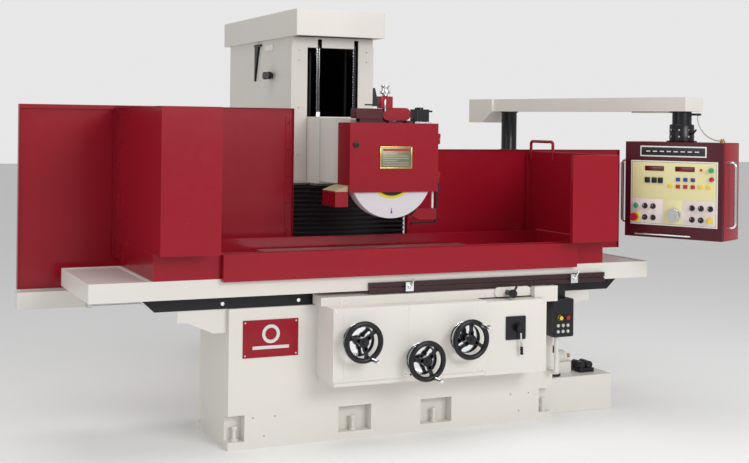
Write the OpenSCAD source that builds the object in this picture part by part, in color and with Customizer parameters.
// Large hydraulic surface grinder: a T-shaped bed, a long sliding table with
// splash boards, a travelling column with a counterweighted wheel head, tall
// sheet guards and a control pendant on a swinging boom. Millimetres, +Z up,
// +X along the table, the operator stands on the -Y side.

/* [Bed and table] */
// Length of the front bed along the table
base_l = 1850; // [1540:10:2220]
// Height of the front bed
base_h = 690; // [600:5:800]
// Length of the table trough, end to end
trough_l = 3110; // [2780:10:3500]
// Depth of the table trough, front to back
trough_w = 680; // [640:5:700]
// Length of the red apron in front of the table
apron_l = 1990; // [1650:10:2380]

/* [Column and head] */
// Height of the column cap above the floor
column_top = 2265; // [2180:5:2720]
// Width of the column
column_w = 520; // [480:5:625]
// Diameter of the grinding wheel
wheel_d = 480; // [400:5:482]
// Thickness of the grinding wheel
wheel_t = 75; // [60:1:90]

/* [Guards] */
// Height of the left guards above the floor
left_guard_top = 1680; // [1400:5:2030]
// Height of the right guards above the floor
right_guard_top = 1455; // [1250:5:1740]

/* [Controls] */
// Outside diameter of the three handwheels
handwheel_d = 206; // [172:2:248]
// Width of the pendant box
pendant_w = 560; // [470:10:670]
// Height of the pendant box
pendant_h = 520; // [460:10:620]

/* [Hidden] */
$fn = 64;
gap = 0.05;                       // running clearance of pins and ways
bed_d = 485;                      // front bed depth
way_l = 2700;                     // length of the long way casting
way_h = 55;
way_z = base_h + way_h;           // top of the way casting
rib_h = 16;                       // raised sliding ways
trough_z = way_z + rib_h;         // underside of the table
trough_h = 90;
rim_z = trough_z + trough_h;      // rim of the trough
vee_y = 395;                      // ridge of the vee way
vee_top = way_z + 29;
vee_half = vee_top + 0.4 - trough_z + 1;
trough_x = -70;                   // the table rests a little to the left
trough_y0 = -90;
trough_y1 = trough_y0 + trough_w;
wall = 14;
tray_l = 300;                     // closed tray at each end of the trough
inner_x0 = trough_x - trough_l / 2 + tray_l;
inner_x1 = trough_x + trough_l / 2 - tray_l;
cyl_y = 250;                      // hydraulic cylinder line
cyl_z = base_h + 25;
sheet = 3;
board_h = 124;                    // splash boards on the table
wing_z = rim_z + board_h + 5;     // the boards pass just under the fixed wings
wing_x0 = -1325;
wing_x1 = 1187;
wing_y = -220;                    // front of the fixed wings
guard_y = 700;                    // plane of the rear guards
guard_x0 = -1826;
guard_x1 = 1849;
gate_x0 = -341;                   // opening that the wheel head works through
gate_x1 = 367;
head_x = 50;                      // centre line of column and head
col_y = 1080;                     // front of the column
col_d = 1195;
cap_front = 125;                  // overhang of the cap at the front, back and sides
cap_back = 75;
cap_side = 22;
cap_z = column_top - 155;
slide_z = 860;                    // top of the cross slide
rear_top = 600;                   // top of the rear bed
open_w = 328;                     // slot between the column strips
head_z0 = 1250;                   // underside of the head
head_z1 = 1637;
sprocket_z = cap_z - 45;
wheel_x = 40;
wheel_z = 1336;
wheel_y = 215;                    // front face of the wheel
hood_x0 = wheel_x - 252;
hood_x1 = head_x + 258;
hood_y0 = 203;
hood_y1 = 362;
hood_z0 = 1237;
hood_z1 = 1605;
box_y = -214;                     // front face of the feed box
box_x0 = -465;
box_x1 = 387;
box_x2 = 755;
box_z0 = 337;
box_z1 = 697;
hw_y = -292;                      // plane of the handwheel rims
hw1 = [-337, 541];
hw2 = [8, 426];
hw3 = [254, 518];
post_x = 1225;
post_y = 1000;
arm_z0 = 1687;                    // underside of the boom arm
arm_h = 77;
arm_w = 150;
arm_turn = -76.3;                 // heading of the arm from the post
pend_turn = -62.4;                // heading of the pendant face
arm_l = 1342;
pend_x = post_x + arm_l * cos(arm_turn);
pend_y = post_y + arm_l * sin(arm_turn);
pend_d = 218;
pend_top = 1520;
pend_z0 = pend_top - pendant_h;
foot_t = 38;                      // slab under the bed
foot_bolt_r = 9;                  // holes for the levelling screws
foot_bolt_y = 30;
back_bolt_y = bed_d - 12;
pocket_d = 62;
pocket_top = 168;
rear_w = 640;                     // rear bed
rear_y0 = bed_d + 10;
rear_y1 = 2700;
rear_rail = 250;                  // guide rails from the centre line
trench = 60;
way_y0 = 20;
way_y1 = 465;
bracket_l = 250;
bracket_y = 30;
bracket_drop = 118;
plate_t = 6;
rod_r = 14;                       // piston rod and cylinder
piston_r = 20;
cyl_r = 24;
cyl_block = 45;                   // half width of the cylinder heads
cyl_l = 1440;
shaft_r = 12;                     // handwheel shafts
dial_t = 38;
switch_r = 6;                     // switch spindle
valve_x0 = 713;                   // box beside the reversing valve
valve_x1 = 856;
lid_y = -112;                     // front of the sloping lid
tank_l = 445;
tank_y0 = 80;
tank_y1 = 840;
tank_h = 198;
tank_t = 4;
table_x0 = -1180;                 // work table and its slots
table_x1 = 1150;
table_y0 = -40;
table_y1 = 530;
slot_w = 18;
slot_wide = 32;
chuck_l = 1220;
apron_y = -124;                   // front of the apron
apron_lip = 13;
apron_h = 117;
rail_y = guard_y + 50;            // back of the guard rails
guard_foot = 737;                 // lowest edge of the left guard
right_foot = 840;                 // lowest edge of the right guard
lip = 12;
return_w = 285;                   // front return of each wing
slide_w = 920;                    // cross slide
slide_y0 = 1020;
slide_y1 = 2300;
col_wall = 40;
bellow_y0 = 1034;
bellow_y1 = 1072;
spindle_r = 45;
flange_r = 118;
flange_t = 10;
motor_r = 60;
hinge_x = hood_x1 + 9;            // door hinge
hinge_y = hood_y0 + 8;
pin_r = 4;
knuckle_r = 8;
knuckle_z = [hood_z0 + 50, hood_z1 - 110];
pocket_half = 14;                 // half width of each chain pocket
shaft_half = column_w / 2 - 28;   // sprocket shaft, reaching into both side walls
sprocket_pin = 15;
post_r = 48;
boom_pin = 20;
button_r = 8;                     // stems of the buttons and knobs
knob_r = 13;
grip_out = 46;                    // side handles of the pendant
gland_r = 14;
conduit_r = 6;                    // flexible conduit beside the hanger
conduit_x = 80;
conduit_y = 30;
conduit_low = 12;                 // height of its lower end above the box
conduit_gap = 8;                  // between its top and the arm

// ---- helpers ----

// box between two corners
module span(x0, x1, y0, y1, z0, z1) {
    translate([x0, y0, z0])
        cube([x1 - x0, y1 - y0, z1 - z0]);
}

// round bar along Y, starting at y and running l backwards
module bar_y(x, y, z, r, l) {
    translate([x, y, z])
        rotate([-90, 0, 0])
            cylinder(r = r, h = l);
}

// round bar along X
module bar_x(x, y, z, r, l) {
    translate([x, y, z])
        rotate([0, 90, 0])
            cylinder(r = r, h = l);
}

// round bar along Z
module bar_z(x, y, z, r, l) {
    translate([x, y, z])
        cylinder(r = r, h = l);
}

// upright box with rounded vertical corners
module soft_box(x0, x1, y0, y1, z0, z1, r) {
    translate([0, 0, z0])
        linear_extrude(z1 - z0) {
            translate([x0 + r, y0])
                square([x1 - x0 - 2 * r, y1 - y0]);
            translate([x0, y0 + r])
                square([x1 - x0, y1 - y0 - 2 * r]);
            for (x = [x0 + r, x1 - r])
                for (y = [y0 + r, y1 - r])
                    translate([x, y])
                        circle(r);
        }
}

// plate in the X-Z plane with rounded corners, front face at y
module soft_plate(x0, x1, y, t, z0, z1, r) {
    translate([0, y + t, 0])
        rotate([90, 0, 0])
            linear_extrude(t) {
                translate([x0 + r, z0])
                    square([x1 - x0 - 2 * r, z1 - z0]);
                translate([x0, z0 + r])
                    square([x1 - x0, z1 - z0 - 2 * r]);
                for (x = [x0 + r, x1 - r])
                    for (z = [z0 + r, z1 - r])
                        translate([x, z])
                            circle(r);
            }
}

// prism along X from a profile in Y and Z
module along_x(x0, x1, pts) {
    translate([x0, 0, 0])
        rotate([90, 0, 90])
            linear_extrude(x1 - x0)
                polygon(pts);
}

// prism along Y from a profile in X and Z
module along_y(y0, y1, pts) {
    translate([0, y1, 0])
        rotate([90, 0, 0])
            linear_extrude(y1 - y0)
                polygon(pts);
}

// round head screw standing out of a front face at y
module screw_y(x, y, z, r, h) {
    translate([x, y, z])
        rotate([90, 0, 0])
            cylinder(r = r, h = h);
}

// ---- bed ----

foot_x = [-base_l / 2 + 42, -252, 211, base_l / 2 - 42];
foot_w = [84, 180, 180, 84];

// recess in the front of the bed for one levelling screw
module foot_pocket(i) {
    span(foot_x[i] - foot_w[i] / 2 - 1, foot_x[i] + foot_w[i] / 2 + 1, -1, pocket_d, foot_t, pocket_top);
}

module front_bed() {
    color("#e9e4d8")
    difference() {
        union() {
            span(-base_l / 2, base_l / 2, 0, bed_d - 25, 30, base_h);
            span(-base_l / 2, base_l / 2, bed_d - 25, bed_d, 150, base_h);
            span(-base_l / 2, base_l / 2, 0, rear_y0, 0, foot_t);
        }
        span(-base_l / 2 + 30, base_l / 2 - 30, 90, bed_d - 55, 60, base_h - 40);
        for (i = [0, 1, 2, 3])
            foot_pocket(i);
        for (i = [0, 1, 2, 3])
            bar_z(foot_x[i], foot_bolt_y, -1, foot_bolt_r, foot_t + 7);
        for (x = [-base_l / 2 + 60, base_l / 2 - 60])
            bar_z(x, back_bolt_y, -1, foot_bolt_r, foot_t + 7);
        // mounting holes beside the pockets
        for (x = [-base_l / 2 + 128, -base_l / 2 + 242, base_l / 2 - 264, base_l / 2 - 151])
            bar_y(x, -1, 150, 4, 20);
        for (x = [-base_l / 2 + 186, base_l / 2 - 211])
            bar_y(x, -1, 57, 4, 20);
    }
}

module rear_bed() {
    color("#ddd8cc")
    difference() {
        union() {
            span(head_x - rear_w / 2, head_x + rear_w / 2, rear_y0, rear_y1, 0, rear_top - 20);
            for (s = [-1, 1])
                span(head_x + s * rear_rail - 55, head_x + s * rear_rail + 55, rear_y0, rear_y1,
                    rear_top - 21, rear_top);
        }
        span(head_x - rear_w / 2 + 40, head_x + rear_w / 2 - 40, rear_y0 + 50, rear_y1 - 50, 40,
            rear_top - 80);
        // trench for the cross cylinder
        span(head_x - trench, head_x + trench, rear_y0 + 50, rear_y1 - 50, 400, rear_top);
    }
}

module way_bed() {
    color("#ddd8cc")
    difference() {
        union() {
            along_y(way_y0, way_y1, [[-way_l / 2 + 60, base_h], [way_l / 2 - 60, base_h],
                [way_l / 2, way_z], [-way_l / 2, way_z]]);
            // flat way and vee way
            span(-way_l / 2, way_l / 2, 60, 160, way_z - 1, trough_z);
            along_x(-way_l / 2, way_l / 2, [[345, way_z - 1], [445, way_z - 1], [445, way_z + 4],
                [vee_y + 25, way_z + 4], [vee_y, vee_top], [vee_y - 25, way_z + 4], [345, way_z + 4]]);
        }
        // trench that the table cylinder lies in
        span(-way_l / 2 - 1, way_l / 2 + 1, cyl_y - cyl_block, cyl_y + cyl_block, base_h - 1, way_z + 5);
    }
    color("#ddd8cc")
        for (x = [-base_l / 2 + 40, base_l / 2 - 100])
            span(x, x + 60, cyl_y - cyl_block - 1, cyl_y + cyl_block + 1, base_h, base_h + 4);
}

// folded channel that steadies one overhanging end of the ways
module way_bracket(s) {
    x0 = s * base_l / 2;
    x1 = s * (base_l / 2 + bracket_l);
    lo = min(x0, x1);
    hi = max(x0, x1);
    span(lo, hi, bracket_y, bracket_y + 80, base_h - plate_t, base_h);
    span(lo, hi, bracket_y, bracket_y + plate_t, base_h - 60, base_h);
    translate([x0, bracket_y, 0])
        mirror([s < 0 ? 1 : 0, 0, 0])
            along_y(0, plate_t, [[0, base_h - bracket_drop], [70, base_h - bracket_drop],
                [bracket_l, base_h - 40], [bracket_l, base_h], [0, base_h]]);
    span(s > 0 ? x0 : x0 - 8, s > 0 ? x0 + 8 : x0, bracket_y, bracket_y + 80,
        base_h - bracket_drop, base_h);
}

module way_brackets() {
    color("#cfcabd")
        for (s = [-1, 1])
            way_bracket(s);
}

module levelling_screws() {
    color("#d9d5c9") {
        for (i = [0, 1, 2, 3]) {
            bar_z(foot_x[i], foot_bolt_y, 0, foot_bolt_r - 0.1, 96);
            bar_z(foot_x[i], foot_bolt_y, foot_t, 17, 12);
            bar_z(foot_x[i], foot_bolt_y, 96, 13, 16);
        }
        for (x = [-base_l / 2 + 60, base_l / 2 - 60]) {
            bar_z(x, back_bolt_y, 0, foot_bolt_r - 0.1, 70);
            bar_z(x, back_bolt_y, foot_t, 13, 14);
        }
    }
}

// ---- front controls ----

module feed_box() {
    color("#e9e4d8")
    difference() {
        union() {
            span(box_x0, box_x1, box_y, 0, box_z0, box_z1);
            span(box_x1, box_x2, box_y + 12, 0, box_z0 - 28, box_z1 - 8);
            span(box_x0 + 12, box_x1, box_y + 14, 0, box_z0 - 24, box_z0);
        }
        span(box_x0 + 12, box_x1 - 6, box_y + 12, -12, box_z0 + 12, box_z1 - 12);
        span(box_x1 + 6, box_x2 - 12, box_y + 24, -12, box_z0 - 12, box_z1 - 20);
        for (w = [hw1, hw2, hw3])
            bar_y(w[0], box_y - 1, w[1], shaft_r + gap, 20);
        bar_y(sw_x + 14, box_y, sw_z, switch_r + gap, 30);
    }
}

module oil_gutter() {
    color("#e9e4d8") {
        // sloping lid over the feed box
        along_x(box_x0 - 25, 830, [[lid_y, box_z1], [0, box_z1], [0, way_z], [lid_y, way_z - 6]]);
        // seat and box of the reversing valve
        soft_plate(487, 700, lid_y - 12, 12, box_z1 + 2, way_z + 4, 20);
        span(valve_x0, valve_x1, lid_y - 38, lid_y, box_z1 - 7, way_z + 2);
        span(box_x2 + 1, valve_x1, lid_y - 38, lid_y, way_z - 80, box_z1 - 6);
    }
}

// radius of a dial's flange, and the seam between the two left covers,
// whose lower screw clears that flange by 6 mm
dial_flange = handwheel_d * 0.4;
screw_r = 5;
seam_x = hw2[0] - sqrt(pow(dial_flange + screw_r + 6, 2) - pow(hw2[1] - box_z0 - 13, 2)) - 15;

module cover_screws() {
    color("#8d8a80") {
        for (x = [box_x0 + 12, seam_x - 15, seam_x + 15, box_x1 - 46, box_x1 - 14])
            for (z = [box_z0 + 13, box_z1 - 13])
                screw_y(x, box_y, z, screw_r, 3);
        for (z = [box_z0 - 10, box_z1 - 24])
            screw_y(box_x2 - 14, box_y + 12, z, screw_r, 3);
        for (x = [-384, 116, 440])
            screw_y(x, lid_y, box_z1 + 16, 5, 3);
        for (x = [-955, -560])
            screw_y(x, way_y0, base_h + 26, 9, 6);
    }
}

module feed_dials() {
    color("#c9c9c6")
        for (w = [hw1, hw2, hw3])
            difference() {
                union() {
                    bar_y(w[0], box_y - dial_t, w[1], handwheel_d * 0.36, dial_t);
                    bar_y(w[0], box_y - 10, w[1], dial_flange, 10);
                }
                bar_y(w[0], box_y - dial_t - 1, w[1], shaft_r + gap, dial_t + 2);
            }
}

// rim, three spokes, hub, shaft and crank grip of one handwheel
module handwheel(c, crank, spoke) {
    r = handwheel_d / 2;
    translate([c[0], 0, c[1]])
        rotate([0, -crank, 0]) {
            translate([0, hw_y, 0])
                rotate([90, 0, 0]) {
                    rotate_extrude()
                        translate([r - 11, 0])
                            circle(11);
                    for (a = [0, 120, 240])
                        rotate([0, 0, a + spoke])
                            translate([20, -8, -7])
                                cube([r - 34, 16, 14]);
                    translate([0, 0, -28])
                        cylinder(r = 26, h = 44);
                }
            bar_y(0, hw_y + 20, 0, shaft_r, 30);
            bar_y(0, box_y - dial_t - 1, 0, shaft_r, 50);
            bar_y(r - 11, hw_y - 46, 0, 6, 46);
            bar_y(r - 11, hw_y - 104, 0, 11, 78);
        }
}

module table_handwheel() {
    color("#1b1b1d")
        handwheel(hw1, -68, -10);
}

module head_handwheel() {
    color("#1b1b1d")
        handwheel(hw2, -70, 0);
}

module cross_handwheel() {
    color("#1b1b1d")
        handwheel(hw3, 56, 34);
}

sw_x = 566;
sw_z = 548;

module switch_lever() {
    color("#26262a") {
        bar_y(sw_x + 14, box_y - 24, sw_z, 24, 28);
        bar_y(sw_x + 14, box_y + 3, sw_z, switch_r, 14);
        translate([sw_x + 14, box_y - 16, sw_z])
            rotate([0, -4, 0]) {
                bar_z(0, 0, -122, 5, 112);
                bar_z(0, 0, -138, 8, 42);
            }
    }
}

rev_x = 560;
rev_z = way_z - 24;

module reverse_lever() {
    color("#222226") {
        bar_y(rev_x, -178, rev_z, 14, 54);
        bar_y(rev_x, -190, rev_z, 22, 14);
        translate([rev_x, -184, rev_z])
            rotate([0, 30, 0])
                bar_z(0, 0, 0, 6, 44);
    }
}

start_x = 919;                    // centre of the start box
start_y = -110;                   // its front face
start_z0 = 462;
start_z1 = 668;
pipe_r = 12;

module start_box() {
    color("#19191b") {
        // box beside the feed box and its hanger
        soft_plate(start_x - 66, start_x + 66, start_y, 70, start_z0, start_z1, 10);
        span(start_x + 6, start_x + 56, start_y + 69, -1, start_z1 - 38, way_z);
        span(start_x + 6, start_x + 56, start_y + 69, way_y0, base_h, way_z);
        // switch plate on the feed box
        difference() {
            soft_plate(sw_x - 60, sw_x + 58, box_y + 4, 8, sw_z - 62, sw_z + 60, 6);
            bar_y(sw_x + 14, box_y, sw_z, switch_r + gap, 20);
        }
    }
    color("#d9c13a")
        bar_y(start_x - 19, start_y - 14, start_z0 + 104, 15, 16);
    color("#b7202a")
        bar_y(start_x + 25, start_y - 14, start_z0 + 104, 15, 16);
}

// ---- coolant and lubrication ----

module coolant_tank() {
    color("#e9e4d8")
    difference() {
        span(base_l / 2, base_l / 2 + tank_l, tank_y0, tank_y1, 0, tank_h);
        span(base_l / 2 + tank_t, base_l / 2 + tank_l - tank_t, tank_y0 + tank_t, tank_y1 - tank_t,
            tank_t, tank_h - tank_t);
        span(base_l / 2 + 60, base_l / 2 + 400, 400, 800, tank_h - 8, tank_h + 2);
    }
}

module lube_unit() {
    x = base_l / 2 + 92;
    jar_y = 150;
    jar_h = 134;
    pump_y = 200;
    pump_z = 292;
    // oil jar, its pump and the pump's stand
    color("#e4e0d4") {
        bar_z(x, jar_y, tank_h, 44, jar_h);
        bar_x(x + 30, pump_y, pump_z, 36, 84);
        span(x + 60, x + 150, pump_y - 20, pump_y + 60, tank_h, 262);
    }
    // caps of the jar and the twin filter beside it
    color("#2a2a2c") {
        bar_z(x, jar_y, tank_h + jar_h, 38, 32);
        bar_z(x, jar_y, tank_h, 50, 14);
        span(x + 190, x + 285, 150, 260, tank_h, tank_h + 24);
        for (s = [0, 1])
            bar_y(x + 212 + s * 50, 160, 236, 22, 90);
    }
    color("#b08a3c")
        bar_x(x + 114, pump_y, pump_z, 14, 34);
    // upright conduit to the start box
    color("#efece4") {
        bar_z(start_x - 19, start_y + 35, 250, pipe_r, start_z0 - 250);
        bar_y(start_x - 19, start_y + 35, 262, pipe_r, -start_y - 35);
    }
}

module coolant_nozzle() {
    color("#c4c6c8") {
        bar_z(-560, 630, 745, 9, 160);
        translate([-560, 630, 905])
            sphere(r = 15);
        translate([-560, 630, 905])
            rotate([0, -72, 0])
                cylinder(r = 9, h = 85);
        translate([-560, 630, 905])
            rotate([0, 80, 0])
                cylinder(r = 7, h = 60);
        span(-590, -530, 612, guard_y, 740, 752);
    }
}

// ---- table ----

module table_trough() {
    color("#e9e4d8")
    difference() {
        span(trough_x - trough_l / 2, trough_x + trough_l / 2, trough_y0, trough_y1, trough_z, rim_z);
        span(inner_x0, inner_x1, trough_y0 + wall, trough_y1 - wall, trough_z + 30, rim_z + 1);
        // shallow dish in the end trays
        span(trough_x - trough_l / 2 + 6, inner_x0 - 12, trough_y0 + 6, trough_y1 - 6, rim_z - 6,
            rim_z + 1);
        span(inner_x1 + 12, trough_x + trough_l / 2 - 6, trough_y0 + 6, trough_y1 - 6, rim_z - 6,
            rim_z + 1);
        // vee groove
        along_x(trough_x - trough_l / 2 - 1, trough_x + trough_l / 2 + 1,
            [[vee_y - vee_half, trough_z - 1], [vee_y + vee_half, trough_z - 1], [vee_y,
                trough_z - 1 + vee_half]]);
    }
}

module work_table() {
    color("#8f9396")
    difference() {
        span(table_x0, table_x1, table_y0, table_y1, trough_z + 30, rim_z - 20);
        for (y = [95, 245, 395]) {
            span(table_x0 - 1, table_x1 + 1, y - slot_w / 2, y + slot_w / 2, rim_z - 45, rim_z);
            span(table_x0 - 1, table_x1 + 1, y - slot_wide / 2, y + slot_wide / 2, rim_z - 52,
                rim_z - 38);
        }
    }
}

module magnetic_chuck() {
    color("#9a9da0") {
        span(-chuck_l / 2, chuck_l / 2, table_y0, table_y1, rim_z - 20, rim_z + 50);
        span(-chuck_l / 2, chuck_l / 2, table_y0, table_y1, rim_z + 50.5, rim_z + 68);
        span(-chuck_l / 2 + 10, chuck_l / 2 - 10, table_y0 + 10, table_y1 - 10, rim_z + 49, rim_z + 51);
    }
}

board_x0 = inner_x0;
board_x1 = inner_x1;

module table_boards() {
    color("#8e1a2b") {
        span(board_x0, board_x1, trough_y0 + 2, trough_y0 + 2 + sheet, rim_z, rim_z + board_h);
        span(board_x0, board_x1, trough_y1 - 2 - sheet, trough_y1 - 2, rim_z, rim_z + board_h);
        for (x = [board_x0, board_x1 - sheet])
            span(x, x + sheet, trough_y0 + 2, trough_y1 - 2, rim_z, rim_z + board_h);
        span(board_x0, board_x1, trough_y0 + 2, trough_y0 + wall, rim_z, rim_z + sheet);
    }
}

module front_apron() {
    color("#a31d2e") {
        span(-apron_l / 2, apron_l / 2, apron_y, apron_y + sheet, rim_z - apron_lip, rim_z + apron_h);
        span(-apron_l / 2, apron_l / 2, apron_y, trough_y0 + 2, rim_z + apron_h - sheet, rim_z + apron_h);
        span(-apron_l / 2, apron_l / 2, apron_y, trough_y0, rim_z - apron_lip, rim_z - apron_lip + sheet);
        for (x = [-apron_l / 2, apron_l / 2 - sheet])
            span(x, x + sheet, apron_y, trough_y0, rim_z - apron_lip, rim_z + apron_h);
    }
}

rail_x0 = -228;
rail_x1 = 1186;

module dog_rail() {
    color("#3a2a2c")
    difference() {
        span(rail_x0, rail_x1, trough_y0 - 18, trough_y0, trough_z - 10, trough_z + 40);
        span(rail_x0 - 1, rail_x1 + 1, trough_y0 - 19, trough_y0 - 8, trough_z + 10, trough_z + 18);
    }
}

// one trip dog with its clamp lever
module trip_dog(x) {
    color("#2c2022")
        span(x - 22, x + 22, trough_y0 - 36, trough_y0 - 18, trough_z - 8, trough_z + 38);
    color("#c8cacc")
        translate([x, trough_y0 - 42, trough_z + 14])
            rotate([0, 30, 0])
                bar_z(0, 0, -10, 5, 56);
    color("#c8cacc")
        bar_y(x, trough_y0 - 46, trough_z + 14, 9, 12);
}

module trip_dogs() {
    for (x = [-12, 978])
        trip_dog(x);
}

rod_x0 = trough_x - trough_l / 2 + 60;
rod_x1 = trough_x + trough_l / 2 - 60;

module piston_rod() {
    color("#b9bcbf") {
        bar_x(rod_x0, cyl_y, cyl_z, rod_r, rod_x1 - rod_x0);
        bar_x(trough_x - 20, cyl_y, cyl_z, piston_r - gap, 40);
        for (x = [rod_x0, rod_x1 - 20])
            span(x, x + 20, cyl_y - 30, cyl_y + 30, cyl_z - 18, trough_z);
    }
}

module table_cylinder() {
    color("#5a5e62")
    difference() {
        union() {
            bar_x(-cyl_l / 2, cyl_y, cyl_z, cyl_r, cyl_l);
            for (x = [-cyl_l / 2 - 15, cyl_l / 2 - 15])
                span(x, x + 30, cyl_y - cyl_block, cyl_y + cyl_block, base_h, base_h + 50);
        }
        bar_x(-cyl_l / 2 + 20, cyl_y, cyl_z, piston_r, cyl_l - 40);
        bar_x(-cyl_l / 2 - 40, cyl_y, cyl_z, rod_r + gap, cyl_l + 80);
    }
}

// ---- guards ----

module guard_supports() {
    color("#d6d1c5") {
        // sill under the far left of the guard
        span(guard_x0 - 12, -1480, 612, 696, 645, 732);
        // rails behind the guards and their arms from the bed
        span(guard_x0 + 20, gate_x0 - 90, guard_y + sheet, rail_y, 745, 795);
        span(gate_x1 + 160, guard_x1 - 20, guard_y + sheet, rail_y, 845, 895);
        span(guard_x0 + 20, -1480, 695, guard_y + sheet, 680, 732);
        span(guard_x0 + 20, -1480, guard_y + sheet, rail_y, 680, 746);
        for (x = [-900, -540])
            span(x, x + 60, bed_d, rail_y, 600, 680);
        for (x = [-900, -540])
            span(x, x + 60, guard_y + sheet, rail_y, 679, 746);
        for (x = [560, 860])
            span(x, x + 50, bed_d, rail_y, 600, 680);
        for (x = [560, 860])
            span(x, x + 50, guard_y + sheet, rail_y, 679, 846);
    }
}

module left_guard() {
    color("#a31d2e") {
        span(guard_x0, gate_x0, guard_y, guard_y + sheet, guard_foot, left_guard_top);
        // folded lip along the top and flanges down each end
        span(guard_x0, gate_x0, guard_y - lip, guard_y + sheet, left_guard_top - sheet, left_guard_top);
        span(guard_x0, wing_x0 - 15, guard_y - lip, guard_y - 9, left_guard_top - 22, left_guard_top);
        span(guard_x0, guard_x0 + sheet, guard_y - lip, guard_y + 30, guard_foot, left_guard_top);
        span(gate_x0 - sheet, gate_x0, guard_y - 14, guard_y + 30, guard_foot, left_guard_top);
        // strip bolted over the last seam
        span(gate_x0 - 46, gate_x0 - 16, guard_y - 4, guard_y, 780, left_guard_top - 40);
    }
}

// tall wing that closes one end of the working space
module wing(x, s, top) {
    y1 = guard_y - 14;
    low = rim_z + 30;
    along_x(x - sheet / 2, x + sheet / 2, [[wing_y, wing_z], [trough_y1 + 14, wing_z],
        [trough_y1 + 14, low],
        [y1, low], [y1, top], [wing_y, top]]);
    span(min(x, x + s * return_w), max(x, x + s * return_w), wing_y, wing_y + sheet, wing_z, top);
    // folded edge at the inner end and stiffener along the top
    span(x + s * return_w - 1.5, x + s * return_w + 1.5, wing_y, wing_y + 24, wing_z, top);
    span(min(x, x + s * return_w), max(x, x + s * return_w), wing_y, wing_y + 16, top - sheet, top);
    span(min(x, x - s * 14), max(x, x - s * 14), wing_y + 4, y1, top - sheet, top);
    // corner flange that bolts to the rear guard
    span(min(x, x - s * 22), max(x, x - s * 22), y1, y1 + sheet, low, top - 14);
    span(min(x, x + s * 22), max(x, x + s * 22), y1, y1 + sheet, low, top - 14);
    for (z = [low + 60, (low + top) / 2, top - 60])
        bar_y(x - s * 12, y1 - 4, z, 5, 18);
}

module left_wing() {
    color("#a31d2e")
        wing(wing_x0, 1, left_guard_top - 10);
}

module right_guard() {
    color("#a31d2e") {
        span(gate_x1, guard_x1, guard_y, guard_y + sheet, right_foot, right_guard_top);
        span(gate_x1, guard_x1, guard_y - lip, guard_y + sheet, right_guard_top - sheet, right_guard_top);
        span(gate_x1, gate_x1 + sheet, guard_y - 14, guard_y + 30, right_foot, right_guard_top);
        span(guard_x1 - sheet, guard_x1, guard_y - lip, guard_y + 30, right_foot, right_guard_top);
    }
}

handle_y0 = 430;
handle_y1 = 672;

module right_wing() {
    color("#a31d2e")
        wing(wing_x1, -1, right_guard_top - 10);
    // tube handle on top of the wing
    color("#7a1726") {
        for (y = [handle_y0, handle_y1])
            bar_z(wing_x1, y, right_guard_top - 60, 9, 92);
        bar_y(wing_x1, handle_y0 + 18, right_guard_top + 50, 9, handle_y1 - handle_y0 - 36);
        for (e = [[handle_y0, 1], [handle_y1, -1]])
            translate([wing_x1, e[0] + e[1] * 18, right_guard_top + 32])
                rotate([0, 90, e[1] > 0 ? 180 : 0])
                    rotate([0, 0, 90])
                        rotate_extrude(angle = 90)
                            translate([18, 0])
                                circle(9);
    }
}

// ---- column ----

module cross_slide() {
    color("#ddd8cc")
    difference() {
        span(head_x - slide_w / 2, head_x + slide_w / 2, slide_y0, slide_y1, rear_top, slide_z);
        span(head_x - 190, head_x + 190, slide_y0 + 40, slide_y1 - 40, rear_top - 1, slide_z - 60);
    }
}

module column() {
    hw = column_w / 2;
    color("#e9e4d8")
    difference() {
        span(head_x - hw, head_x + hw, col_y, col_y + col_d, slide_z, cap_z);
        span(head_x - hw + col_wall, head_x + hw - col_wall, col_y + 60, col_y + col_d - col_wall,
            slide_z + col_wall, cap_z + 1);
        span(head_x - open_w / 2, head_x + open_w / 2, col_y - 1, col_y + 61, slide_z + 60, cap_z - 62);
        bar_x(head_x - shaft_half, sprocket_y, sprocket_z, sprocket_pin + gap, 2 * shaft_half);
        // open pockets that the chains and sprockets run in
        for (x = chain_x) {
            span(x - pocket_half, x + pocket_half, col_y - 1, col_y + 61, cap_z - 63, cap_z - 12);
            span(x - pocket_half, x + pocket_half, chain_y - 12, col_y + 61, cap_z - 63, cap_z + 1);
        }
        // small inspection holes in the strips
        for (z = [cap_z - 80, cap_z - 140, cap_z - 420, cap_z - 700]) {
            bar_y(head_x - hw + 42, col_y - 1, z, 4, 12);
            bar_y(head_x + hw - 42, col_y - 1, z, 4, 12);
        }
    }
    // raised faces beside the front strips
    color("#e9e4d8")
        for (x = [head_x - hw - 5, head_x + hw])
            along_x(x, x + 5, [[col_y, slide_z], [col_y + 120, slide_z], [col_y + 120, cap_z - 330],
                [col_y + 24, cap_z - 50], [col_y, cap_z - 50]]);
    // pale plate and hanging strap on the left side
    color("#f0ede6")
        span(head_x - hw - 8, head_x - hw, col_y + 325, col_y + 465, cap_z - 66, cap_z - 30);
    color("#1b1b1d") {
        span(head_x - hw - 14, head_x - hw, col_y + 545, col_y + 665, cap_z - 32, cap_z - 18);
        along_x(head_x - hw - 14, head_x - hw, [[strap_y, cap_z - 250], [strap_y, cap_z - 32],
            [strap_y - 70, cap_z - 32], [strap_y - 40, cap_z - 120]]);
    }
}

module column_cap() {
    color("#efebe0")
    difference() {
        span(head_x - column_w / 2 - cap_side, head_x + column_w / 2 + cap_side, col_y - cap_front,
            col_y + col_d + cap_back, cap_z, column_top);
        span(head_x - column_w / 2 + 10, head_x + column_w / 2 - 10, col_y - cap_front + 40,
            col_y + col_d - 10, cap_z - 1, column_top - 30);
    }
}

strap_y = col_y + 650;
knob_y = col_y + 350;
knob_z = cap_z - 222;

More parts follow.
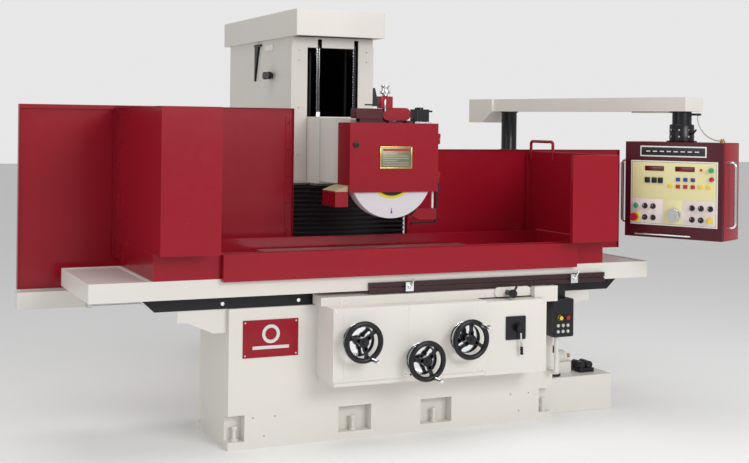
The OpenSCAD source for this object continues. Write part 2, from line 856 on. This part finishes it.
module column_knob() {
    color("#1b1b1d") {
        bar_x(head_x - column_w / 2 - 26, knob_y, knob_z, 18, 26);
        for (s = [-1, 1])
            bar_x(head_x - column_w / 2 - 44, knob_y + s * 36, knob_z, 23, 22);
        span(head_x - column_w / 2 - 44, head_x - column_w / 2 - 22, knob_y - 36, knob_y + 36,
            knob_z - 15, knob_z + 15);
    }
}

pleats = 14;
bellow_z0 = slide_z;
bellow_z1 = head_z0 - 10;
pleat = (bellow_z1 - bellow_z0) / pleats;

module bellows() {
    color("#16161a")
        for (i = [0 : pleats - 1])
            along_x(head_x - slide_w / 2, head_x + slide_w / 2, [[bellow_y1, bellow_z0 + i * pleat],
                [bellow_y0, bellow_z0 + i * pleat], [bellow_y0 - lip, bellow_z0 + (i + 0.5) * pleat],
                [bellow_y0, bellow_z0 + (i + 1) * pleat], [bellow_y1, bellow_z0 + (i + 1) * pleat]]);
}

chain_x = [head_x - 86, head_x + 150];
chain_y = col_y + 30;
link_pitch = 25.4;

module head_chains() {
    n = floor((sprocket_z - head_z1 - 30) / link_pitch);
    step = (sprocket_z - head_z1 - 30) / n;
    color("#a9abad")
        for (x = chain_x) {
            for (i = [0 : n - 1])
                span(x - 5, x + 5, chain_y - 7, chain_y + 7, head_z1 + 30 + i * step,
                    head_z1 + 30 + i * step + step - 1);
            span(x - 2.5, x + 2.5, chain_y - 4, chain_y + 4, head_z1 + 30, sprocket_z);
            for (i = [0 : n - 1])
                bar_x(x - 10, chain_y, head_z1 + 30 + (i + 0.5) * step, 4, 20);
        }
}

sprocket_r = 58;
sprocket_y = chain_y + sprocket_r + 7.3;

module chain_sprockets() {
    color("#7c7f82") {
        for (x = chain_x)
            translate([x - 4, sprocket_y, sprocket_z])
                rotate([0, 90, 0])
                    cylinder(r = sprocket_r, h = 8);
        bar_x(head_x - shaft_half + 1, sprocket_y, sprocket_z, sprocket_pin, 2 * shaft_half - 2);
    }
}

weight_z0 = 1285;
weight_z1 = 1625;

module counterweight() {
    color("#6d6f72") {
        span(head_x - 150, head_x + 175, 1236, 1540, weight_z0, weight_z1);
        for (x = chain_x)
            bar_z(x, sprocket_y + sprocket_r + 8.3, weight_z1 - 1, 8, sprocket_z - weight_z1 + 1);
    }
}

// ---- wheel head ----

carr_x0 = head_x - open_w / 2 + 2;
carr_x1 = head_x + open_w / 2 - 2;

module head_carriage() {
    color("#e9e4d8")
    difference() {
        union() {
            // rear slide that runs between the column strips
            span(carr_x0, carr_x1, 880, col_y + 60, head_z0, head_z1);
            span(carr_x0 - 30, carr_x1 + 30, col_y + 60, col_y + 84, head_z0, head_z1);
            // spindle housing that reaches forward to the guard
            soft_box(carr_x0 + 6, carr_x1 - 6, hood_y1, 960, head_z0 + 14, head_z1 - 6, 40);
            // seat of the bellows bracket
            span(head_x - 300, head_x + 300, 1024, 1070, head_z0 - 10, head_z0);
            // block on the left shoulder
            span(carr_x0 - 26, carr_x0 + 40, hood_y1 + 6, hood_y1 + 120, head_z1 - 90, head_z1 - 14);
        }
        bar_y(wheel_x, hood_y1 - 1, wheel_z, spindle_r + gap, 62);
        bar_y(wheel_x, hood_y1 + 60, wheel_z, motor_r, 420);
        span(head_x - 120, head_x + 120, 890, col_y + 40, head_z0 + 40, head_z1 - 40);
    }
    // chain anchors
    color("#c4c6c8")
        for (x = chain_x)
            span(x - 12, x + 12, chain_y - 12, chain_y + 12, head_z1, head_z1 + 30);
    // bracket under the carriage
    color("#85827a")
        span(carr_x0 - 4, carr_x0 + 90, 905, 1020, head_z0 - 14, head_z0);
}

module spindle_motor() {
    color("#4a4e52") {
        difference() {
            bar_y(wheel_x, hood_y1 + 300, wheel_z, motor_r - 0.1, 180);
            bar_y(wheel_x, hood_y1 + 299, wheel_z, spindle_r + gap, 47);
        }
    }
}

module wheel_guard() {
    color("#a31d2e")
    difference() {
        span(hood_x0, hood_x1, hood_y0, hood_y1, hood_z0, hood_z1);
        span(hood_x0 + 4, hood_x1 - 4, hood_y0 - 1, hood_y1 - 6, hood_z0 - 1, hood_z1 - 4);
        bar_y(wheel_x, hood_y1 - 10, wheel_z, spindle_r + 15, 20);
    }
    // hinge knuckles on the right side
    color("#7a1726")
        for (z = knuckle_z)
            difference() {
                bar_z(hinge_x, hinge_y, z, knuckle_r, 28);
                bar_z(hinge_x, hinge_y, z - 1, pin_r + gap, 30);
            }
    color("#7a1726")
        for (z = knuckle_z)
            span(hood_x1, hood_x1 + 3, hood_y0 + 2, hood_y0 + 40, z, z + 28);
}

door_y0 = 197;

module guard_door() {
    color("#a31d2e") {
        span(hood_x0, hood_x1, door_y0, hood_y0 - 1, hood_z0, hood_z1);
        for (z = knuckle_z) {
            bar_z(hinge_x, hinge_y, z + 29, knuckle_r, 26);
            bar_z(hinge_x, hinge_y, z - 2, pin_r, 40);
            span(hood_x1 - 4, hood_x1 + 9, door_y0, hood_y0 - 1, z + 29, z + 55);
            span(hood_x1 + 5, hood_x1 + 13, door_y0, hood_y0 + 4, z + 29, z + 55);
        }
    }
    // lock and data plate frame
    color("#1b1b1d")
        screw_y(-179, door_y0, 1488, 13, 5);
    color("#b08a3c")
        difference() {
            span(-40, 149, door_y0 - 3, door_y0, 1362, 1480);
            span(-34, 143, door_y0 - 4, door_y0 - 1.5, 1368, 1474);
        }
}

splash_y0 = 215;
splash_y1 = 395;

module splash_box() {
    x0 = hood_x0 - 74;
    low = hood_z0 - 77;
    color("#a31d2e")
        difference() {
            along_y(splash_y0, splash_y1, [[x0, low], [hood_x0, low], [hood_x0, hood_z0 + 36],
                [x0, hood_z0 + 8]]);
            span(x0 + 8, hood_x0 - 6, splash_y0 + 10, splash_y1 - 10, low + 12, hood_z0 + 2);
        }
}

module wheel_nozzle() {
    color("#1b1b1d") {
        span(hood_x1, hood_x1 + 26, 225, 262, hood_z0 + 2, hood_z0 + 50);
        span(hood_x1 + 8, hood_x1 + 18, 240, 250, hood_z0 - 176, hood_z0 + 2);
        span(170, hood_x1 + 18, 240, 250, hood_z0 - 176, hood_z0 - 166);
    }
    color("#efece4")
        bar_z(hood_x1 - 8, 245, hood_z0 - 92, 6, 92);
    color("#a31d2e")
        along_y(225, 268, [[164, hood_z0 - 130], [200, hood_z0 - 92], [hood_x1 + 6, hood_z0 - 92],
            [hood_x1 + 6, hood_z0 - 152], [210, hood_z0 - 152]]);
}

// ---- wheel dresser ----

dr_z = hood_z1;
dr_rail_x0 = -139;                // guide rails of the dresser
dr_rail_y = [236, 286];
dr_body_z = dr_z + 22;            // cylinder block behind the saddle
saddle_x0 = -4;
saddle_x1 = 162;
quill_x = 18;                     // feed quill and its dial
quill_y = 266;
quill_z = dr_z + 141;
lever_x = -42;                    // clamp lever beside the quill
lever_y = 250;

module dresser_base() {
    color("#6f1624") {
        soft_box(dr_rail_x0 - 30, saddle_x0 - 2, 228, 300, dr_body_z, dr_body_z + 54, 8);
        span(dr_rail_x0, saddle_x1 - 2, dr_rail_y[0], dr_rail_y[1] + 8, dr_z, dr_z + 8);
        for (y = dr_rail_y)
            span(dr_rail_x0, saddle_x0 - 10, y, y + 8, dr_z, dr_body_z + 1);
        for (x = [saddle_x0 + 20, saddle_x1 - 40])
            span(x, x + 20, 210, 340, dr_z, dr_z + 14);
    }
}

module dresser_slide() {
    // rounded saddle, upright housing and quill
    color("#a31d2e") {
        soft_plate(saddle_x0, saddle_x1, 246, 38, dr_z + 14, dr_z + 82, 30);
        soft_box(quill_x - 38, quill_x + 38, quill_y - 26, quill_y + 26, dr_z + 78, quill_z + 1, 10);
    }
    color("#c4c6c8") {
        bar_z(quill_x, quill_y, quill_z, 15, 15);
        bar_z(quill_x - 12, quill_y - 29, dr_z + 62, 6, 62);
    }
    // clamp lever
    color("#1b1b1d") {
        along_y(lever_y, lever_y + 12, [[lever_x - 16, dr_z + 88], [lever_x + 12, dr_z + 88],
            [lever_x + 8, dr_z + 130], [lever_x - 6, dr_z + 186], [lever_x - 14, dr_z + 186]]);
        span(lever_x, quill_x - 34, lever_y, lever_y + 12, dr_z + 88, dr_z + 100);
        bar_x(lever_x - 62, lever_y + 6, dr_z + 96, 4, 60);
    }
}

module dresser_dial() {
    color("#cfd1d2") {
        bar_z(quill_x, quill_y, quill_z + 15, 28, 16);
        bar_z(quill_x, quill_y, quill_z + 31, 19, 22);
        bar_z(quill_x, quill_y, quill_z + 53, 24, 8);
    }
}

valve_cx = 230;                   // coolant and dresser valve on the hood
valve_cy = 272;
valve_h = 68;

module valve_block() {
    base_z = dr_z + 8;
    color("#1b1b1d") {
        soft_box(valve_cx - 40, valve_cx + 40, valve_cy - 40, valve_cy + 40, base_z, base_z + valve_h, 6);
        bar_z(valve_cx, valve_cy, base_z + valve_h, 20, 10);
    }
    color("#c4c6c8") {
        // base plate, splash plate at its left and the lever bracket
        span(valve_cx - 50, valve_cx + 50, valve_cy - 48, valve_cy + 48, dr_z, base_z);
        span(valve_cx - 50, valve_cx - 44, valve_cy - 48, valve_cy - 40, base_z, base_z + valve_h + 8);
        span(valve_cx + 40, valve_cx + 46, valve_cy - 12, valve_cy - 2, base_z + 12, base_z + 62);
        bar_x(valve_cx + 46, valve_cy - 7, base_z + 58, 5, 26);
    }
}

// ---- spindle and wheel ----

bore_r = 76;
spindle_l = 480;

module spindle() {
    color("#8b8e91") {
        bar_y(wheel_x, wheel_y + wheel_t + 12, wheel_z, spindle_r, spindle_l - wheel_t);
        bar_y(wheel_x, wheel_y - 8, wheel_z, bore_r - gap, wheel_t + 22);
    }
    // clamping flanges
    color("#232326")
        difference() {
            bar_y(wheel_x, wheel_y - flange_t, wheel_z, flange_r, flange_t);
            for (a = [0 : 60 : 300])
                bar_y(wheel_x + 84 * cos(a), wheel_y - 11, wheel_z + 84 * sin(a), 4, 5);
        }
    color("#232326")
        bar_y(wheel_x, wheel_y + wheel_t, wheel_z, flange_r, 12);
}

module grinding_wheel() {
    color("#e6e3e6")
    difference() {
        bar_y(wheel_x, wheel_y, wheel_z, wheel_d / 2, wheel_t);
        bar_y(wheel_x, wheel_y - 1, wheel_z, bore_r, wheel_t + 2);
    }
}

// ---- boom and pendant ----

module boom_post() {
    color("#17171a")
        difference() {
            union() {
                bar_z(post_x, post_y, 0, post_r, arm_z0 - gap);
                bar_z(post_x, post_y, 1380, 60, 70);
                bar_z(post_x, post_y, arm_z0 - 6, 56, 6 - gap);
            }
            bar_z(post_x, post_y, arm_z0 - 60, boom_pin + gap, 61);
        }
    color("#d6d1c5") {
        soft_box(post_x - 140, post_x + 140, post_y - 140, post_y + 140, 0, 20, 20);
        // tie from the back of the bed
        span(base_l / 2 - 65, base_l / 2 - 5, bed_d, post_y + 30, 500, 560);
        span(base_l / 2 - 65, post_x - 30, post_y - 30, post_y + 30, 500, 560);
    }
}

// place something at the post, heading along the arm
module arm_frame() {
    translate([post_x, post_y, 0])
        rotate([0, 0, arm_turn])
            children();
}

module boom_arm() {
    arm_frame()
        color("#ded9cc") {
            difference() {
                union() {
                    span(-70, arm_l + 80, -arm_w / 2, arm_w / 2, arm_z0, arm_z0 + arm_h);
                    // deeper junction box behind the post
                    translate([0, 95, 0])
                        rotate([90, 0, 0])
                            linear_extrude(190)
                                polygon([[-270, arm_z0 - 70], [-150, arm_z0 - 70], [-60, arm_z0],
                                    [-60, arm_z0 + arm_h], [-270, arm_z0 + arm_h]]);
                }
                span(-40, arm_l + 40, -arm_w / 2 + 4, arm_w / 2 - 4, arm_z0 + 12, arm_z0 + arm_h - 4);
                bar_z(arm_l, 0, arm_z0 - 1, boom_pin + gap, 20);
            }
            bar_z(0, 0, arm_z0 - 50, boom_pin, 63);
        }
    // service plate and clamp under the free end
    arm_frame()
        color("#17171a") {
            soft_box(arm_l - 330, arm_l - 62, -40, 40, arm_z0 - 8, arm_z0, 20);
        }
}

module pend_frame() {
    translate([pend_x, pend_y, 0])
        rotate([0, 0, pend_turn])
            children();
}

face_y = -pend_d / 2;
pw = pendant_w / 2;
ctl_x0 = -pw + 36;
ctl_x1 = pw - 26;
ctl_z0 = pend_z0 + 68;
ctl_z1 = pend_top - 102;
hanger_r = 52;                    // tube and collar that carry the pendant
collar_r = 66;
collar_h = 96;
conduit_bend = 130;
gland_x = conduit_x + conduit_bend + gland_r - 4;

module pendant_box() {
    pend_frame() {
        color("#7a1726")
        difference() {
            span(-pw, pw, face_y, -face_y, pend_z0, pend_top);
            span(-pw + 3, pw - 3, face_y + 3, -face_y - 3, pend_z0 + 3, pend_top - 3);
            bar_y(estop_x, face_y - 1, knob_low, button_r + gap, 6);
            bar_y(ctl_x1 - 32, face_y - 1, ctl_z1 - 44, button_r + gap, 6);
        }
        // hanger: tube, collar and pivot pin
        color("#17171a") {
            difference() {
                union() {
                    bar_z(0, 0, pend_top, collar_r, collar_h);
                    bar_z(0, 0, pend_top + collar_h, hanger_r, arm_z0 - pend_top - collar_h - gap);
                }
                for (a = [0 : 45 : 315])
                    rotate([0, 0, a])
                        translate([collar_r - 6, 0, pend_top + 60])
                            rotate([0, 90, 0])
                                cylinder(r = 5, h = 10);
            }
            bar_z(0, 0, arm_z0 - 1, boom_pin, 14);
            bar_z(0, 0, arm_z0 + 12 + gap, 30, 8);
            bar_x(collar_r - 10, -20, pend_top + 70, 6, 44);
        }
        // bent tube handles at both sides
        color("#c4c6c8")
            for (s = [-1, 1]) {
                for (z = [pend_z0 + 74, pend_top - 104])
                    bar_x(s > 0 ? pw : -pw - grip_out, face_y + 60, z, 8, grip_out);
                bar_z(s * (pw + grip_out), face_y + 60, pend_z0 + 66, 8, pendant_h - 162);
            }
        // rod across the foot of the front
        color("#c4c6c8") {
            bar_x(-pw + 60, face_y - 22, pend_z0 + 18, 4, 330);
            for (x = [-pw + 64, -pw + 386])
                bar_y(x, face_y - 22, pend_z0 + 18, 4, 23);
        }
        // cable gland on top
        color("#b08a3c")
            bar_z(gland_x, conduit_y, pend_top, gland_r, 22);
        // flexible conduit that drops from the hanger and bends into the gland
        color("#efece4") {
            bar_z(conduit_x, conduit_y, pend_top + conduit_low + conduit_bend, conduit_r,
                arm_z0 - conduit_gap - pend_top - conduit_low - conduit_bend);
            translate([conduit_x + conduit_bend, conduit_y, pend_top + conduit_low + conduit_bend])
                rotate([90, 0, 0])
                    rotate([0, 0, 180])
                        rotate_extrude(angle = 90)
                            translate([conduit_bend, 0])
                                circle(conduit_r);
        }
        // fitting that holds its upper end to the hanger tube
        color("#17171a")
            span(hanger_r - 20, conduit_x + 14, conduit_y - 12, conduit_y + 12,
                arm_z0 - conduit_gap - 14, arm_z0 - conduit_gap - 2);
    }
}

// a small square key standing out of the panel
module key(x, z, w, h) {
    span(x - w / 2, x + w / 2, face_y - 7, face_y - 3, z - h / 2, z + h / 2);
}

// a knob with its pointer
module knob(x, z, r) {
    bar_y(x, face_y - 24, z, r, 21);
    span(x - 2.5, x + 2.5, face_y - 30, face_y - 23, z - r, z + r);
}

pcx = (ctl_x0 + ctl_x1) / 2;
estop_x = ctl_x0 + 34;
knob_low = ctl_z0 + 40;
knob_high = ctl_z0 + 102;

module pendant_keys() {
    pend_frame() {
        color("#e9e0b0") {
            difference() {
                soft_plate(ctl_x0, ctl_x1, face_y - 3, 3, ctl_z0, ctl_z1, 4);
                bar_y(pcx + 10, face_y - 4, knob_low + 20, button_r + gap, 10);
                bar_y(estop_x, face_y - 4, knob_low, button_r + gap, 10);
                bar_y(ctl_x1 - 32, face_y - 4, ctl_z1 - 44, button_r + gap, 10);
                bar_y(ctl_x1 - 38, face_y - 4, knob_low, button_r + gap, 10);
            }
            soft_plate(-pw + 90, pw - 90, face_y - 3, 3, pend_top - 80, pend_top - 22, 3);
        }
        color("#5a1018") {
            key(pcx - 110, ctl_z1 - 42, 104, 22);
            key(pcx + 66, ctl_z1 - 42, 104, 22);
        }
        color("#1b1b1d")
            for (x = [-150, -116, -82])
                key(pcx + x, ctl_z1 - 106, 28, 30);
        color("#2b3f94")
            for (x = [28, 70, 112])
                key(pcx + x, ctl_z1 - 98, 22, 20);
        color("#a8202c")
            for (x = [28, 70, 112])
                key(pcx + x, ctl_z1 - 136, 22, 20);
        color("#d9c13a")
            for (x = [-16, 156, 200])
                key(pcx + x, ctl_z1 - 134, 24, 18);
        color("#1b1b1d") {
            for (x = [86, 134])
                for (z = [knob_low, knob_high])
                    knob(ctl_x0 + x, z, knob_r);
            for (x = [-140, -90])
                for (z = [knob_low, knob_high])
                    knob(ctl_x1 + x, z, knob_r);
            knob(ctl_x1 - 38, knob_high, knob_r);
        }
        color("#d9c13a")
            difference() {
                bar_y(estop_x, face_y - 12, knob_low, 27, 9);
                bar_y(estop_x, face_y - 13, knob_low, button_r + gap, 12);
            }
        color("#2f9a52")
            bar_y(estop_x, face_y - 18, knob_high, 13, 15);
        color("#b7202a")
            bar_y(ctl_x1 - 32, face_y - 18, ctl_z1 - 92, 13, 15);
    }
}

module pulse_dial() {
    pend_frame()
        color("#c4c6c8") {
            bar_y(pcx + 10, face_y - 22, knob_low + 20, 38, 18.9);
            bar_y(pcx + 10, face_y - 42, knob_low + 20, 30, 20);
            bar_y(pcx + 10, face_y - 4, knob_low + 20, button_r, 3.9);
        }
}

module stop_button() {
    pend_frame()
        color("#b7202a") {
            bar_y(estop_x, face_y - 40, knob_low, 21, 14);
            bar_y(estop_x, face_y - 27, knob_low, button_r, 26);
        }
}

module start_button() {
    pend_frame()
        color("#2f9a52") {
            bar_y(ctl_x1 - 32, face_y - 20, ctl_z1 - 44, 13, 12);
            bar_y(ctl_x1 - 32, face_y - 9, ctl_z1 - 44, button_r, 8);
        }
}

module mode_knob() {
    pend_frame()
        color("#d9a92a") {
            bar_y(ctl_x1 - 38, face_y - 24, knob_low, 15, 20.9);
            bar_y(ctl_x1 - 38, face_y - 4, knob_low, button_r, 3.9);
            span(ctl_x1 - 41, ctl_x1 - 35, face_y - 30, face_y - 23, knob_low - 14, knob_low + 14);
        }
}

front_bed();
rear_bed();
way_bed();
way_brackets();
levelling_screws();
feed_box();
oil_gutter();
cover_screws();
feed_dials();
start_box();
coolant_tank();
lube_unit();
table_cylinder();
guard_supports();
left_guard();
left_wing();
right_guard();
right_wing();
boom_post();
coolant_nozzle();
table_trough();
work_table();
magnetic_chuck();
front_apron();
table_boards();
dog_rail();
trip_dogs();
piston_rod();
cross_slide();
column();
column_cap();
bellows();
head_chains();
column_knob();
chain_sprockets();
counterweight();
head_carriage();
spindle_motor();
wheel_guard();
guard_door();
splash_box();
wheel_nozzle();
dresser_base();
dresser_slide();
dresser_dial();
valve_block();
spindle();
grinding_wheel();
table_handwheel();
head_handwheel();
cross_handwheel();
switch_lever();
reverse_lever();
boom_arm();
pendant_box();
pendant_keys();
pulse_dial();
stop_button();
start_button();
mode_knob();
